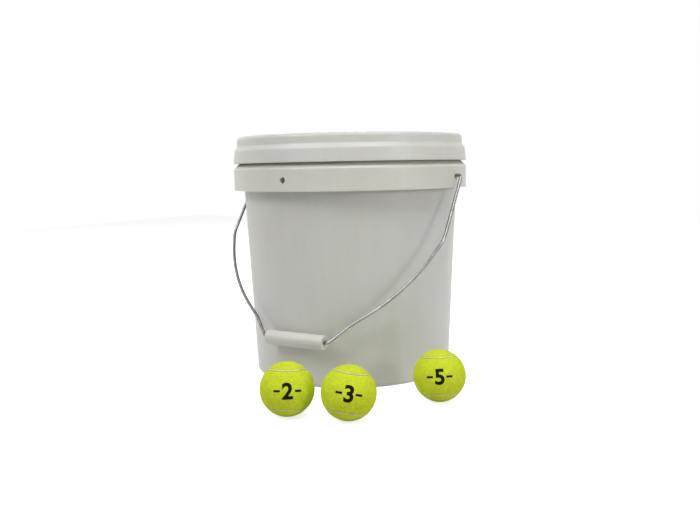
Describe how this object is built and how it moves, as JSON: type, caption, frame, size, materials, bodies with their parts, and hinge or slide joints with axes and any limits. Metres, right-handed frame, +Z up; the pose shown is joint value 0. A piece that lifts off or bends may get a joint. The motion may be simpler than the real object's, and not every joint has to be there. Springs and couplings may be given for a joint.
{
  "type": "tennis ball bucket",
  "caption": "Tapered round plastic bucket with a press-on lid and a swinging wire bail with grip, for storing and carrying tennis balls, with felt-covered balls standing in front.",
  "frame": {"origin": "on the floor, in the middle of the rectangle that the bucket and the balls take up together; the bucket's own axis is at x -27.8 mm, y +60.8 mm", "axes": "+Z up along the bucket's axis; +X along the bail's hinge axis; the bail hangs, and the balls stand, on the -Y side"},
  "size_m": [0.4008, 0.4536, 0.3342],
  "materials": {
    "pail_plastic": "satin moulded polypropylene, off-white",
    "lid_plastic": "satin moulded polypropylene, off-white",
    "grip_plastic": "satin moulded polyethylene, white",
    "zinc_wire": "bright zinc-plated drawn wire",
    "ball_felt": "brushed wool and nylon felt, optic yellow",
    "seam_rubber": "matt pale vulcanised rubber",
    "core_rubber": "matt black moulded rubber"
  },
  "bodies": {
    "bucket": {"bucket": "pail_plastic"},
    "lid": {"lid": "lid_plastic"},
    "bail": {"bail_wire": "zinc_wire"},
    "grip": {"bail_grip": "grip_plastic"},
    "ball_left": {"ball_left_felt_front": "ball_felt", "ball_left_felt_back": "ball_felt", "ball_left_seam": "seam_rubber", "ball_left_core_front": "core_rubber", "ball_left_core_back": "core_rubber"},
    "ball_middle": {"ball_middle_felt_front": "ball_felt", "ball_middle_felt_back": "ball_felt", "ball_middle_seam": "seam_rubber", "ball_middle_core_front": "core_rubber", "ball_middle_core_back": "core_rubber"},
    "ball_right": {"ball_right_felt_front": "ball_felt", "ball_right_felt_back": "ball_felt", "ball_right_seam": "seam_rubber", "ball_right_core_front": "core_rubber", "ball_right_core_back": "core_rubber"}
  },
  "joints": [
    {"name": "lid_lift", "type": "slide", "parent": "bucket", "child": "lid", "axis": [0, 0, 1], "range_m": [0, 0.15]},
    {"name": "bail_swing", "type": "hinge", "parent": "bucket", "child": "bail", "pos_m": [-0.02596, 0.06081, 0.2765], "axis": [-1, 0, 0], "range_deg": [0, 288.2]},
    {"name": "grip_spin", "type": "hinge", "parent": "bail", "child": "grip", "pos_m": [-0.02296, -0.09169, 0.0658], "axis": [1, 0, 0], "continuous": true},
    {"name": "ball_left_lift", "type": "slide", "parent": "bucket", "child": "ball_left", "axis": [0, 0, 1], "range_m": [0, 0.35]},
    {"name": "ball_middle_lift", "type": "slide", "parent": "bucket", "child": "ball_middle", "axis": [0, 0, 1], "range_m": [0, 0.35]},
    {"name": "ball_right_lift", "type": "slide", "parent": "bucket", "child": "ball_right", "axis": [0, 0, 1], "range_m": [0, 0.35]}
  ]
}
